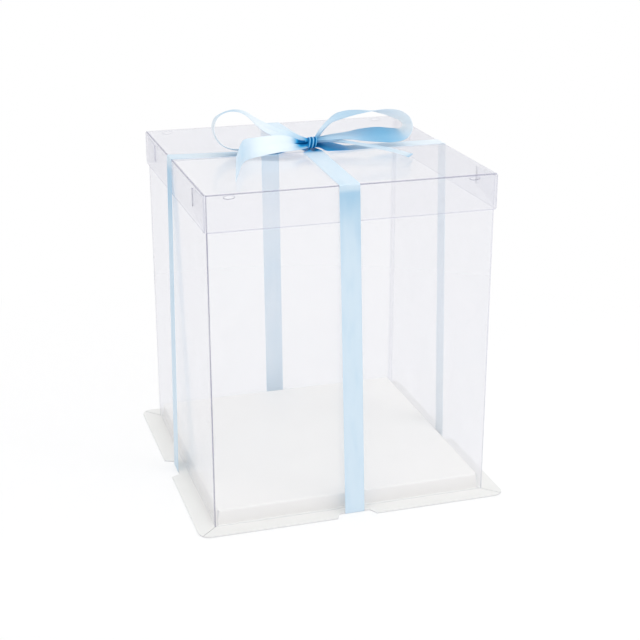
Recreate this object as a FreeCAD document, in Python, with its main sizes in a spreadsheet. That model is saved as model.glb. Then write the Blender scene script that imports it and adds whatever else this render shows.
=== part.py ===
"""Clear square cake box: folded film lid and sleeve, folded card base, and a satin ribbon tied in a bow.

Frame: origin at the middle of the base's underside, +Z up, the front of the box faces -Y. Millimetres.
The lid, the sleeve and the base are folded sheets, so each of them is built panel by panel, crease to crease.
"""
import FreeCAD, Part
import Sketcher

import math
import os

# Driving sizes: name, value, meaning
SIZES = (
    ("sleeve_width", 254.0, "outside of the sleeve along X"),
    ("sleeve_depth", 254.0, "outside of the sleeve along Y"),
    ("sleeve_height", 300.0, "height of the sleeve's walls"),
    ("film_thickness", 0.4, "clear film of the sleeve and the lid"),
    ("seam_width", 10.0, "glued flap that closes the sleeve"),
    ("lid_clearance", 1.0, "air between the sleeve and the lid's skirts"),
    ("skirt_depth", 32.0, "lid's top face to the lower edge of its skirts"),
    ("slot_length", 10.0, "lens-shaped slot in the front and back skirts"),
    ("slot_height", 2.4, "the same slot, across its middle"),
    ("slot_inset", 21.0, "lid's corner to the middle of the slot"),
    ("slot_drop", 2.6, "fold of the skirt to the middle of the slot"),
    ("tab_length", 45.0, "corner crease to the tip of a corner tab"),
    ("tab_clearance", 0.3, "air between a corner tab and the side skirt that it lies on"),
    ("tab_margin", 1.0, "corner tab's edges short of the fold and of the skirt's lower edge"),
    ("slit_drop", 4.0, "fold of the skirt to the upper end of the slit that takes a tab's tongue"),
    ("slit_height", 16.0, "length of that slit"),
    ("slit_clearance", 0.4, "air round the tongue in its slit"),
    ("tongue_reach", 0.5, "tongue's end past the inside of the side skirt"),
    ("card_thickness", 1.0, "card of the base"),
    ("base_height", 15.0, "table to the top of the platform"),
    ("platform_clearance", 3.0, "air between the sleeve's inside and the platform's edge"),
    ("leg_gap", 0.8, "slit between neighbouring legs at a corner"),
    ("foot_margin", 16.0, "sleeve's outside to the outer edge of a foot"),
    ("foot_radius", 10.0, "rounded outer corners of the feet"),
    ("mitre_gap", 0.6, "slit between neighbouring feet at a corner"),
    ("notch_width", 29.0, "ribbon notch of a foot, along its inner edge"),
    ("notch_flare", 4.0, "how much wider the notch opens at each end"),
    ("notch_setback", 8.0, "sleeve's outside to the inner edge of the notch"),
    ("ribbon_width", 18.0, "width of the satin ribbon"),
    ("ribbon_thickness", 0.3, "thickness of the satin ribbon"),
    ("ribbon_clearance", 0.2, "air between the ribbon and what it lies on"),
    ("relief_margin", 1.5, "channel under a foot, wider than the ribbon by this on each side"),
    ("crossing_land", 1.0, "level stretch past the crossing under the base, on each side"),
    ("crossing_ramp", 6.0, "ramp from that stretch down to the table"),
    ("front_shift", -5.0, "where the ribbon crosses the lid's front edge, along X"),
    ("back_shift", -4.0, "where the ribbon crosses the lid's back edge, along X"),
    ("left_shift", 12.0, "where the ribbon crosses the lid's left edge, along Y"),
    ("right_shift", 0.0, "where the ribbon crosses the lid's right edge, along Y"),
    ("knot_width", 13.0, "bow's knot along X"),
    ("knot_depth", 13.0, "bow's knot along Y"),
    ("knot_height", 12.0, "bow's knot, upright"),
    ("knot_radius", 3.0, "rounding of the knot"),
    ("left_loop_reach", 68.0, "knot's side to the middle of the left loop's round end"),
    ("left_loop_radius", 19.0, "round end of the left loop"),
    ("left_loop_tilt", 14.0, "how far the left loop points up, in degrees"),
    ("right_loop_reach", 74.0, "knot's side to the middle of the right loop's round end"),
    ("right_loop_radius", 15.0, "round end of the right loop"),
    ("right_loop_tilt", 9.0, "how far the right loop points up, in degrees"),
    ("left_tail_reach", 108.0, "knot's side to the end of the left tail"),
    ("left_tail_heading", 39.0, "how far the left tail turns to the front, in degrees"),
    ("right_tail_reach", 86.0, "knot's side to the end of the right tail"),
    ("right_tail_heading", 39.0, "how far the right tail turns to the front, in degrees"),
    ("tail_start", 2.0, "knot's underside to where the tails leave it"),
    ("tail_rise", 3.0, "how far the middle of a tail arches above the line between its ends"),
)

# Sizes and levels worked out from the driving sizes, as expressions of the sheet
FILM = "sizes.film_thickness"
CARD = "sizes.card_thickness"
RIBBON = "sizes.ribbon_thickness"
AIR = "sizes.ribbon_clearance"
HALF_RIBBON = "(sizes.ribbon_width / 2)"
SLEEVE_X = "(sizes.sleeve_width / 2)"
SLEEVE_Y = "(sizes.sleeve_depth / 2)"
LID_X = f"({SLEEVE_X} + sizes.lid_clearance + {FILM})"
LID_Y = f"({SLEEVE_Y} + sizes.lid_clearance + {FILM})"
FOLD_Z = f"({CARD} + sizes.sleeve_height)"
LID_Z = f"({FOLD_Z} + {FILM})"
SKIRT_Z = f"({LID_Z} - sizes.skirt_depth)"
SLIT_TOP_Z = f"({FOLD_Z} - sizes.slit_drop)"
SLIT_LOW_Z = f"({SLIT_TOP_Z} - sizes.slit_height)"
PLATFORM_X = f"({SLEEVE_X} - {FILM} - sizes.platform_clearance)"
PLATFORM_Y = f"({SLEEVE_Y} - {FILM} - sizes.platform_clearance)"
LEG_HEIGHT = f"(sizes.base_height - 2 * {CARD})"
CHANNEL = f"({RIBBON} + {AIR})"
CROSS_Z = f"({LID_Z} + {AIR})"
LONG_Z = f"({CROSS_Z} + {CHANNEL})"
KNOT_Z = f"({LONG_Z} + {CHANNEL})"
TIE_Z = f"({KNOT_Z} + sizes.knot_height / 2)"

FRONT = LEFT = -1
BACK = RIGHT = 1
COUNTER_CLOCKWISE = 1
CLOCKWISE = -1

doc = FreeCAD.newDocument("cake_box")
sheet = doc.addObject("Spreadsheet::Sheet", "sizes")
for row, (alias, value, meaning) in enumerate(SIZES, start=1):
    sheet.set(f"A{row}", meaning)
    sheet.set(f"B{row}", str(value))
    sheet.setAlias(f"B{row}", alias)
doc.recompute()

nodes = []


def number(expression):
    """Present value of an expression of the sheet."""
    value = sheet.evalExpression(expression.replace("sizes.", ""))
    return float(getattr(value, "Value", value))


def signed(sign, expression):
    return expression if sign > 0 else f"-({expression})"


def place(obj, at):
    for axis, expression in zip("xyz", at):
        obj.setExpression(f"Placement.Base.{axis}", expression)


def turn_about(obj, axis, angle):
    """Turn a body about an axis through its own origin, by an expression in degrees."""
    obj.Placement.Rotation = FreeCAD.Rotation(axis, 0)
    obj.setExpression("Placement.Rotation.Axis.x", str(axis.x))
    obj.setExpression("Placement.Rotation.Axis.y", str(axis.y))
    obj.setExpression("Placement.Rotation.Axis.z", str(axis.z))
    obj.setExpression("Placement.Rotation.Angle", angle)


def panel(label, low, size):
    """Rectangular sheet: its lowest corner, and its sizes along X, Y and Z."""
    box = doc.addObject("Part::Box", label)
    box.Label = label
    for name, expression in zip(("Length", "Width", "Height"), size):
        box.setExpression(name, expression)
    place(box, low)
    nodes.append(box)


def new_body(label, at=("0", "0", "0")):
    body = doc.addObject("PartDesign::Body", label)
    body.Label = label
    place(body, at)
    nodes.append(body)
    return body


def new_sketch(body, plane, height="0"):
    """Sketch on one of the body's own planes, raised along that plane's normal."""
    sketch = body.newObject("Sketcher::SketchObject", body.Name + "_outline")
    support = [f for f in body.Origin.OriginFeatures if f.Role == plane][0]
    sketch.AttachmentSupport = (support, [""])
    sketch.MapMode = "FlatFace"
    sketch.setExpression("AttachmentOffset.Base.z", height)
    return sketch


def arc_between(point, following, radius, turn, wide):
    """Arc from one point to the next, always drawn counter-clockwise; wide means over half a circle."""
    chord = following - point
    across = FreeCAD.Vector(-chord.y, chord.x, 0).normalize()
    rise = math.sqrt(max(radius ** 2 - (chord.Length / 2) ** 2, 0))
    side = turn * (-1 if wide else 1)
    centre = point + chord * 0.5 + across * (rise * side)
    begin, finish = (point, following) if turn == COUNTER_CLOCKWISE else (following, point)
    angles = [math.atan2(p.y - centre.y, p.x - centre.x) for p in (begin, finish)]
    circle = Part.Circle(centre, FreeCAD.Vector(0, 0, 1), radius)
    return Part.ArcOfCircle(circle, *angles)


def bind(sketch, constraint, expression):
    index = sketch.addConstraint(constraint)
    sketch.setExpression(f"Constraints[{index}]", expression)


def add_loop(sketch, corners, arcs=None):
    """Closed outline through corners, which are pairs of expressions.

    arcs maps a side's number to (radius, turn, wide): the side that starts at that corner is then an arc.
    """
    arcs = arcs or {}
    origin, start, end = -1, 1, 2
    first = sketch.GeometryCount
    points = [FreeCAD.Vector(number(x), number(y), 0) for x, y in corners]
    ends = []
    for side, point in enumerate(points):
        following = points[(side + 1) % len(points)]
        if side in arcs:
            radius, turn, wide = arcs[side]
            sketch.addGeometry(arc_between(point, following, number(radius), turn, wide))
            ends.append((start, end) if turn == COUNTER_CLOCKWISE else (end, start))
        else:
            sketch.addGeometry(Part.LineSegment(point, following))
            ends.append((start, end))
    for side, (head, tail) in enumerate(ends):
        after = (side + 1) % len(ends)
        joint = Sketcher.Constraint("Coincident", first + side, tail, first + after, ends[after][0])
        sketch.addConstraint(joint)
        for name, expression in zip(("DistanceX", "DistanceY"), corners[side]):
            place_of = Sketcher.Constraint(name, origin, start, first + side, head, number(expression))
            bind(sketch, place_of, expression)
        if side in arcs:
            radius = arcs[side][0]
            bind(sketch, Sketcher.Constraint("Radius", first + side, number(radius)), radius)


def rectangle(x0, x1, y0, y1):
    return [(x0, y0), (x1, y0), (x1, y1), (x0, y1)]


def pad(body, sketch, thickness, reverse=False, both_sides=False):
    feature = body.newObject("PartDesign::Pad", body.Name + "_sheet")
    feature.Profile = sketch
    feature.setExpression("Length", thickness)
    feature.Reversed = reverse
    if both_sides:
        feature.SideType = "Symmetric"
    return feature


def build_base():
    """One card sheet: platform, four legs folded down, four feet folded outward."""
    panel("base_platform",
          (f"-{PLATFORM_X}", f"-{PLATFORM_Y}", f"sizes.base_height - {CARD}"),
          (f"2 * {PLATFORM_X}", f"2 * {PLATFORM_Y}", CARD))
    leg_end = f"({PLATFORM_X} - {CARD} - sizes.leg_gap)"
    for name, low_y in (("front", f"-{PLATFORM_Y}"), ("back", f"{PLATFORM_Y} - {CARD}")):
        panel(f"base_{name}_leg", (f"-{leg_end}", low_y, CARD), (f"2 * {leg_end}", CARD, LEG_HEIGHT))
    for name, low_x in (("left", f"-{PLATFORM_X}"), ("right", f"{PLATFORM_X} - {CARD}")):
        panel(f"base_{name}_leg", (low_x, f"-{PLATFORM_Y}", CARD), (CARD, f"2 * {PLATFORM_Y}", LEG_HEIGHT))
    quarter_turns = ("front", "right", "back", "left")
    for turns, name in enumerate(quarter_turns):
        along_x = turns % 2 == 0
        run, out = (SLEEVE_X, SLEEVE_Y) if along_x else (SLEEVE_Y, SLEEVE_X)
        foot(f"base_{name}_foot", turns * 90, run, out)


def foot(label, angle, run, out):
    """Foot of the front leg, turned about Z to its own side; run and out are the sleeve's half sizes."""
    inner = f"({out} - {FILM} - sizes.platform_clearance - {CARD})"
    outer = f"({out} + sizes.foot_margin)"
    notch = f"({out} + sizes.notch_setback)"
    half_notch = "(sizes.notch_width / 2)"
    mouth = f"({half_notch} + sizes.notch_flare)"
    inner_end = f"({run} - {FILM} - sizes.platform_clearance - {CARD} - sizes.mitre_gap / sqrt(2))"
    radius = "sizes.foot_radius"
    centre_x = f"({run} + sizes.foot_margin - {radius})"
    centre_y = f"({out} + sizes.foot_margin - {radius})"
    mitre = f"(45 deg + asin(sizes.mitre_gap / (2 * {radius})))"
    tip_x = f"({centre_x} + {radius} * cos({mitre}))"
    tip_y = f"({centre_y} + {radius} * sin({mitre}))"
    right_half = [(inner_end, f"-{inner}"), (tip_x, f"-{tip_y}"), (centre_x, f"-{outer}"),
                  (mouth, f"-{outer}"), (half_notch, f"-{notch}")]
    left_half = [(f"-{x}", y) for x, y in reversed(right_half)]
    right_arc, left_arc = 1, 7
    rounding = (radius, CLOCKWISE, False)

    body = new_body(label)
    turn_about(body, FreeCAD.Vector(0, 0, 1), str(angle))
    outline = new_sketch(body, "XY_Plane")
    add_loop(outline, right_half + left_half, {right_arc: rounding, left_arc: rounding})
    plate = pad(body, outline, CARD)
    doc.recompute()
    whole = plate.Shape.Volume
    channel = new_sketch(body, "XY_Plane")
    half_channel = f"({HALF_RIBBON} + sizes.relief_margin)"
    past_edge = CARD
    add_loop(channel, rectangle(f"-{half_channel}", half_channel,
                                f"-({notch} + {past_edge})", f"-({inner} - {past_edge})"))
    relief = body.newObject("PartDesign::Pocket", label + "_relief")
    relief.Profile = channel
    relief.setExpression("Length", CHANNEL)
    relief.Reversed = True
    doc.recompute()
    if relief.Shape.Volume >= whole:
        raise RuntimeError(label + ": the ribbon's channel cuts nothing")


def build_sleeve():
    """One film sheet: four walls and the flap that is glued inside the right wall, at the back."""
    height = "sizes.sleeve_height"
    inside_y = f"({SLEEVE_Y} - {FILM})"
    for name, low_y in (("front", f"-{SLEEVE_Y}"), ("back", inside_y)):
        panel(f"sleeve_{name}_wall", (f"-{SLEEVE_X}", low_y, CARD), ("sizes.sleeve_width", FILM, height))
    for name, low_x in (("left", f"-{SLEEVE_X}"), ("right", f"{SLEEVE_X} - {FILM}")):
        panel(f"sleeve_{name}_wall", (low_x, f"-{inside_y}", CARD), (FILM, f"2 * {inside_y}", height))
    panel("sleeve_seam_flap",
          (f"{SLEEVE_X} - 2 * {FILM}", f"{inside_y} - sizes.seam_width", CARD),
          (FILM, "sizes.seam_width", height))


def build_lid():
    """One film sheet: top panel, four skirts folded down, four corner tabs."""
    panel("lid_top_panel", (f"-{LID_X}", f"-{LID_Y}", FOLD_Z), (f"2 * {LID_X}", f"2 * {LID_Y}", FILM))
    for name, side in (("front", FRONT), ("back", BACK)):
        slotted_skirt(f"lid_{name}_skirt", side)
    for name, side in (("left", LEFT), ("right", RIGHT)):
        slit_skirt(f"lid_{name}_skirt", side)
        for end_name, end in (("front", FRONT), ("back", BACK)):
            corner_tab(f"lid_{end_name}_{name}_tab", side, end)


def slotted_skirt(label, side):
    body = new_body(label, ("0", signed(side, f"{LID_Y} - {FILM}"), "0"))
    outline = new_sketch(body, "XZ_Plane")
    add_loop(outline, rectangle(f"-{LID_X}", LID_X, SKIRT_Z, FOLD_Z))
    half_slot = "(sizes.slot_length / 2)"
    bow = "(sizes.slot_height / 2)"
    radius = f"({half_slot} ^ 2 + {bow} ^ 2) / (2 * {bow})"
    level = f"{FOLD_Z} - sizes.slot_drop"
    lens_side = (radius, COUNTER_CLOCKWISE, False)
    for end in (LEFT, RIGHT):
        middle = signed(end, f"{LID_X} - sizes.slot_inset")
        ends = [(f"{middle} - {half_slot}", level), (f"{middle} + {half_slot}", level)]
        add_loop(outline, ends, {0: lens_side, 1: lens_side})
    pad(body, outline, FILM, reverse=side == BACK)


def slit_skirt(label, side):
    body = new_body(label, (signed(side, f"{LID_X} - {FILM}"), "0", "0"))
    outline = new_sketch(body, "YZ_Plane")
    end_y = f"({LID_Y} - {FILM})"
    add_loop(outline, rectangle(f"-{end_y}", end_y, SKIRT_Z, FOLD_Z))
    tongue_y = f"({LID_Y} - sizes.tab_length + {FILM} / 2)"
    half_slit = f"({FILM} / 2 + sizes.slit_clearance)"
    for end in (FRONT, BACK):
        middle = signed(end, tongue_y)
        slit = rectangle(f"{middle} - {half_slit}", f"{middle} + {half_slit}", SLIT_LOW_Z, SLIT_TOP_Z)
        add_loop(outline, slit)
    pad(body, outline, FILM, reverse=side == LEFT)


def corner_tab(label, side, end):
    """Tab from a front or back skirt round the corner, with its tongue in the side skirt's slit."""
    face = f"({LID_X} + sizes.tab_clearance + {FILM})"
    inward = side == RIGHT
    body = new_body(label, (signed(side, face), "0", "0"))
    crease = signed(end, LID_Y)
    tip = signed(end, f"{LID_Y} - sizes.tab_length")
    tongue_root = signed(end, f"{LID_Y} - sizes.tab_length + {FILM}")
    tongue_low = f"{SLIT_LOW_Z} + sizes.slit_clearance"
    tongue_top = f"{SLIT_TOP_Z} - sizes.slit_clearance"
    outline = new_sketch(body, "YZ_Plane")
    add_loop(outline, [(crease, f"{SKIRT_Z} + sizes.tab_margin"), (tip, tongue_low),
                       (tip, tongue_top), (crease, f"{FOLD_Z} - sizes.tab_margin")])
    pad(body, outline, FILM, reverse=inward)
    tongue = new_sketch(body, "YZ_Plane")
    add_loop(tongue, rectangle(tip, tongue_root, tongue_low, tongue_top))
    pad(body, tongue, f"2 * {FILM} + sizes.tab_clearance + sizes.tongue_reach", reverse=inward)


def build_ribbon():
    """One length of ribbon: crossing under the base, four drops, crossing on the lid, and the bow."""
    under_x = f"({SLEEVE_X} + sizes.notch_setback + {CHANNEL})"
    panel("ribbon_under_cross", (f"-{under_x}", f"-{HALF_RIBBON}", "0"),
          (f"2 * {under_x}", "sizes.ribbon_width", RIBBON))
    under_long_strip()
    top_strip("ribbon_top_cross", CROSS_Z, LID_X, "sizes.left_shift", "sizes.right_shift", along_x=True)
    top_strip("ribbon_top_long", LONG_Z, LID_Y, "sizes.front_shift", "sizes.back_shift", along_x=False)
    for name, side in (("front", FRONT), ("back", BACK)):
        drop(f"ribbon_{name}_drop", side, SLEEVE_Y, LID_Y, f"sizes.{name}_shift",
             top=f"{LONG_Z} + {RIBBON}", along_x=False)
    for name, side in (("left", LEFT), ("right", RIGHT)):
        drop(f"ribbon_{name}_drop", side, SLEEVE_X, LID_X, f"sizes.{name}_shift",
             top=f"{CROSS_Z} + {RIBBON}", along_x=True)
    knot()
    for name, side in (("left", LEFT), ("right", RIGHT)):
        of_loop = f"sizes.{name}_loop"
        loop(f"bow_{name}_loop", side, f"{of_loop}_reach", f"{of_loop}_radius", f"{of_loop}_tilt")
        tail(f"bow_{name}_tail", side, f"sizes.{name}_tail_reach", f"sizes.{name}_tail_heading")


def under_long_strip():
    """Strip under the base from front to back, humped over the other one."""
    far = f"({SLEEVE_Y} + sizes.notch_setback + {CHANNEL})"
    land = f"({HALF_RIBBON} + sizes.crossing_land)"
    foot_of_ramp = f"({land} + sizes.crossing_ramp)"
    levels = [(far, "0"), (foot_of_ramp, "0"), (land, CHANNEL)]
    lower = [(f"-{y}", z) for y, z in levels] + list(reversed(levels))
    upper = [(y, f"{z} + {RIBBON}") for y, z in reversed(lower)]
    body = new_body("ribbon_under_long")
    outline = new_sketch(body, "YZ_Plane")
    add_loop(outline, lower + upper)
    pad(body, outline, "sizes.ribbon_width", both_sides=True)


def top_strip(label, level, lid_half, low_shift, high_shift, along_x):
    """Strip across the lid, through its middle, with its two ends shifted sideways at the lid's edges."""
    end = f"({lid_half} + {AIR})"
    spine = [(f"-{end}", low_shift), ("0", "0"), (end, high_shift)]
    one_side = [(along, f"{across} - {HALF_RIBBON}") for along, across in spine]
    other_side = [(along, f"{across} + {HALF_RIBBON}") for along, across in reversed(spine)]
    corners = one_side + other_side
    if not along_x:
        corners = [(across, along) for along, across in corners]
    body = new_body(label)
    outline = new_sketch(body, "XY_Plane", level)
    add_loop(outline, corners)
    pad(body, outline, RIBBON)


def drop(label, side, sleeve_half, lid_half, shift, top, along_x):
    """Stretch down one side, from the lid's edge to the notch in the foot."""
    body = new_body(label)
    sections = []
    notch = f"{sleeve_half} + sizes.notch_setback"
    for face, middle, level in ((notch, "0", CHANNEL), (lid_half, shift, top)):
        near = signed(side, f"{face} + {AIR}")
        far = signed(side, f"{face} + {CHANNEL}")
        edges = (f"{middle} - {HALF_RIBBON}", f"{middle} + {HALF_RIBBON}")
        section = new_sketch(body, "XY_Plane", level)
        add_loop(section, rectangle(near, far, *edges) if along_x else rectangle(*edges, near, far))
        sections.append(section)
    strip = body.newObject("PartDesign::AdditiveLoft", label + "_strip")
    strip.Profile = sections[0]
    strip.Sections = sections[1:]
    strip.Ruled = True


def knot():
    body = new_body("bow_knot")
    half_x, half_y = "(sizes.knot_width / 2)", "(sizes.knot_depth / 2)"
    outline = new_sketch(body, "XY_Plane", KNOT_Z)
    add_loop(outline, rectangle(f"-{half_x}", half_x, f"-{half_y}", half_y))
    block = pad(body, outline, "sizes.knot_height")
    doc.recompute()
    rounding = body.newObject("PartDesign::Fillet", "bow_knot_rounding")
    rounding.Base = (block, [f"Edge{i}" for i in range(1, len(block.Shape.Edges) + 1)])
    rounding.setExpression("Radius", "sizes.knot_radius")


def loop(label, side, reach, radius, tilt):
    """Band bent into a teardrop: two runs that leave the knot together and meet in a round end."""
    body = new_body(label, (signed(side, f"sizes.knot_width / 2 + {AIR}"), "0", TIE_Z))
    turn_about(body, FreeCAD.Vector(0, 1, 0), signed(-side, tilt))
    slope = f"({radius} / {reach})"
    spread = f"sqrt(1 - {slope} ^ 2)"
    outline = new_sketch(body, "XZ_Plane")
    inner_radius = f"({radius} - {RIBBON})"
    for curve, start in ((radius, "0"), (inner_radius, f"{RIBBON} / {slope}")):
        touch_x = signed(side, f"{reach} - {curve} * {slope}")
        touch_z = f"{curve} * {spread}"
        turn = COUNTER_CLOCKWISE if side == RIGHT else CLOCKWISE
        add_loop(outline, [(signed(side, start), "0"), (touch_x, f"-{touch_z}"), (touch_x, touch_z)],
                 {1: (curve, turn, True)})
    pad(body, outline, "sizes.ribbon_width", both_sides=True)


def tail(label, side, reach, heading):
    """Loose end: a strip that arches from the knot to the lid, turned towards the front."""
    start_z = f"({KNOT_Z} + sizes.tail_start)"
    body = new_body(label, ("0", "0", start_z))
    turn_about(body, FreeCAD.Vector(0, 0, 1), signed(-side, heading))
    # The tail leaves the knot past its rounded corner
    core_x = "(sizes.knot_width / 2 - sizes.knot_radius)"
    core_y = "(sizes.knot_depth / 2 - sizes.knot_radius)"
    turned = f"({heading} * 1 deg)"
    begin = f"({core_x} * cos({turned}) + {core_y} * sin({turned}) + sizes.knot_radius + {AIR})"
    finish = f"({begin} + {reach})"
    fall = f"({start_z} - {LID_Z} - {AIR})"
    radius = f"(({reach} ^ 2 + {fall} ^ 2) / (8 * sizes.tail_rise) + sizes.tail_rise / 2)"
    away = CLOCKWISE if side == RIGHT else COUNTER_CLOCKWISE
    corners = [(signed(side, begin), "0"), (signed(side, finish), f"-{fall}"),
               (signed(side, finish), f"{RIBBON} - {fall}"), (signed(side, begin), RIBBON)]
    outline = new_sketch(body, "XZ_Plane")
    add_loop(outline, corners, {0: (radius, away, False), 2: (radius, -away, False)})
    pad(body, outline, "sizes.ribbon_width", both_sides=True)


build_base()
build_sleeve()
build_lid()
build_ribbon()
doc.recompute()

for obj in doc.Objects:
    if {"Invalid", "Error"} & set(obj.State):
        raise RuntimeError(f"{obj.Label}: {obj.State}")
for node in nodes:
    shape = node.Shape
    if shape.isNull() or not shape.isValid() or len(shape.Solids) != 1:
        raise RuntimeError(f"{node.Label}: not one sound solid")

os.makedirs("parts", exist_ok=True)
for node in nodes:
    node.Shape.exportStep(f"parts/{node.Label}.step")
    print(f"{node.Label}: {node.Shape.Volume:.2f} mm3")
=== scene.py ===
"""Looks of the clear cake box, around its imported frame: film lid and sleeve, card base, satin ribbon.

Metres, in the part's own frame: origin under the middle of the base, +Z up, the front faces -Y.
"""
import math
from types import SimpleNamespace

import bmesh
import bpy
import numpy as np
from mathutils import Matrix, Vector


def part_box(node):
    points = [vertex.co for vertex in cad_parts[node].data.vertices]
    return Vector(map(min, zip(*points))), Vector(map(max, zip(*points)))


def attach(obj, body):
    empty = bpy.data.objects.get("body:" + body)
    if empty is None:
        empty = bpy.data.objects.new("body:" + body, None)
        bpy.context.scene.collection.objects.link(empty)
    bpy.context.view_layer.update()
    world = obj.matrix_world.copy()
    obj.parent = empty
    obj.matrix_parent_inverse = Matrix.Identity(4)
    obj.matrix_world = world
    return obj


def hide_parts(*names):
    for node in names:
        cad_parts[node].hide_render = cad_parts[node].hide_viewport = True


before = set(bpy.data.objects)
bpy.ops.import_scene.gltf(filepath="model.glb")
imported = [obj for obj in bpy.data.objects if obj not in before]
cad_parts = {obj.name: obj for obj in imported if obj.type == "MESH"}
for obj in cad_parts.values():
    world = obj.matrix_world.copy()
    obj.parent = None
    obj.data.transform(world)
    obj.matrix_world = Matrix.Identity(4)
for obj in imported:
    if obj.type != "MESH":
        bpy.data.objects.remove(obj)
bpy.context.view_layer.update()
scene = bpy.context.scene

MM = 0.001
UP = Vector((0, 0, 1))
SIDES = ("front", "back", "left", "right")

# Sizes that the frame's boxes give
SLEEVE_LOW, SLEEVE_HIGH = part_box("sleeve_front_wall")
LID_LOW, LID_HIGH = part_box("lid_top_panel")
SKIRT_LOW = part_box("lid_front_skirt")[0]
PLATFORM_LOW, PLATFORM_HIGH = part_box("base_platform")
FOOT_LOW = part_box("base_front_foot")[0]
FILM = LID_HIGH.z - LID_LOW.z
CARD = PLATFORM_HIGH.z - PLATFORM_LOW.z
LID_TOP = LID_HIGH.z
SKIRT_BOTTOM = SKIRT_LOW.z
FOOT_OUT = -FOOT_LOW.y

# Meshes: points nearer than the weld become one, and a bend past the sharp angle shows as an edge
WELD = 0.02 * MM
SHARP_ANGLE = math.radians(40)
BEND_STEPS = 4

# Film: how far the panels wave, in an even part and a wavy part
WALL_BULGE = 0.45 * MM
LID_SAG = 0.7 * MM
SKIRT_WAVE = 0.25 * MM
SKIRT_WAVE_SPAN = 0.4
STILL_REACH = 30 * MM
EVEN_PART, WAVY_PART = 0.55, 0.45

# Sleeve
FILM_CREASE = 0.9 * MM
FLAP_WIDTH = 10 * MM
FLAP_GAP = 0.1 * MM
FLAP_SPANS = 4
WALL_SPANS = 30
WALL_STEP = 10 * MM

# Lid: fold, slots, slits and corner tabs
LID_CREASE = 0.8 * MM
PANEL_STEP = 8 * MM
CUT_CLEARANCE = 1.5 * MM
EDGE_LINE = 0.7 * MM
SLOT_INSET = 21 * MM
SLOT_LENGTH = 10 * MM
SLOT_HEIGHT = 2.4 * MM
SLOT_DROP = 2.6 * MM
SLOT_COLUMNS = 9
SLIT_DROP = 4 * MM
SLIT_HEIGHT = 16 * MM
SLIT_GAP = 0.4 * MM
SLIT_RIM = 0.7 * MM
TAB_LENGTH = 45 * MM
TAB_GAP = 0.3 * MM
TAB_MARGIN = 1.0 * MM
TAB_STEP = 4 * MM
TAB_POINTS = 7
TONGUE_REACH = 0.5 * MM
TONGUE_BEND = 0.4 * MM
TONGUE_BEND_IN, TONGUE_BEND_SHORT = 0.15 * MM, 0.1 * MM
TONGUE_ROWS = 3

# The lid's sheet, at the middle of the film
LID_HALF = LID_HIGH.x - FILM / 2
LID_LEVEL = LID_TOP - FILM / 2
LID_INNER = LID_HALF - LID_CREASE
FOLD_FOOT = LID_LEVEL - LID_CREASE
SLOT_MID = LID_HIGH.x - SLOT_INSET
SLOT_LEVEL = LID_LOW.z - SLOT_DROP
SLIT_MID = LID_HIGH.y - TAB_LENGTH + FILM / 2
SLIT_HALF = FILM / 2 + SLIT_GAP
SLIT_TOP = LID_LOW.z - SLIT_DROP
SLIT_LOW = SLIT_TOP - SLIT_HEIGHT
# Rows of a front or back skirt below its slots, in shares of the way: first a rim, last an edge line
END_SKIRT_ROWS = (0, 0.022, 0.15, 0.3, 0.45, 0.6, 0.75, 0.88, 0.975, 1)
SIDE_SKIRT_ROWS = (FOLD_FOOT, SLIT_TOP, SLIT_LOW, SKIRT_BOTTOM + EDGE_LINE, SKIRT_BOTTOM)

# Card base
CARD_FOLD = 1.2 * MM
CARD_SAG = 0.25 * MM
LEG_HEIGHTS = (10.5 * MM, 7.5 * MM, 4.5 * MM)
FOOT_RADIUS = 10 * MM
FOOT_STEP = 10 * MM
FOOT_ARC_POINTS = 7
FOOT_ROWS = (0.2, 0.45, 0.7, 0.9, 1)
FOOT_LIFT = 0.35 * MM
FOOT_LIFT_POWER = 6
MITRE_GAP = 0.6 * MM
SQUEEZE_FROM = 90 * MM
NOTCH_WIDTH = 29 * MM
NOTCH_FLARE = 4 * MM
NOTCH_SETBACK = 8 * MM
NOTCH_COLUMNS = (0, 5 * MM, 9 * MM, 10.5 * MM)
RELIEF_WIDTH = 21 * MM
RELIEF_RISE = 0.5 * MM
RELIEF_RAMP = 2 * MM

# The base's sheet, at the middle of the card
BASE_HALF = PLATFORM_HIGH.x - CARD / 2
BASE_LEVEL = PLATFORM_HIGH.z - CARD / 2
BASE_LOW = CARD / 2
BASE_INNER = BASE_HALF - CARD_FOLD
BASE_ROOT = BASE_HALF + CARD_FOLD

# Ribbon
RIBBON_WIDTH = 18 * MM
RIBBON = 0.3 * MM
RIBBON_AIR = 0.2 * MM
RIBBON_COLUMNS = 13
PATH_STEP = 3 * MM
ARC_STEP = math.radians(15)
PLEATS = 3
PLEAT_TIGHT = 0.5
CUT_REACH = 20 * MM
# One edge of a leaning band sheds its painted shade, as if lit, by this slope from this offset, for places
# across it from -1 to 1
LIT_EDGE_OFFSET, LIT_EDGE_SLOPE = -1.4, 3
# The way that the ribbon's width lies, for a band along X and for one along Y
ACROSS = ((0, 1, 0), (1, 0, 0))

# Bands over the lid: bends, share of the width left at the knot, and how the twist grows and fades along X
EDGE_BEND = 1.3 * MM
NOTCH_BEND = 0.35 * MM
RISE_BEND = 30 * MM
CROWN_BEND = 40 * MM
BAND_BENDS = (EDGE_BEND, RISE_BEND, CROWN_BEND, RISE_BEND, EDGE_BEND)
RISE_SHIFT = 0.2
WAIST = 0.55
TWIST_FROM, TWIST_GROWS = -8 * MM, 20 * MM
TWIST_UNTIL, TWIST_FADES = 36 * MM, 22 * MM

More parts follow.
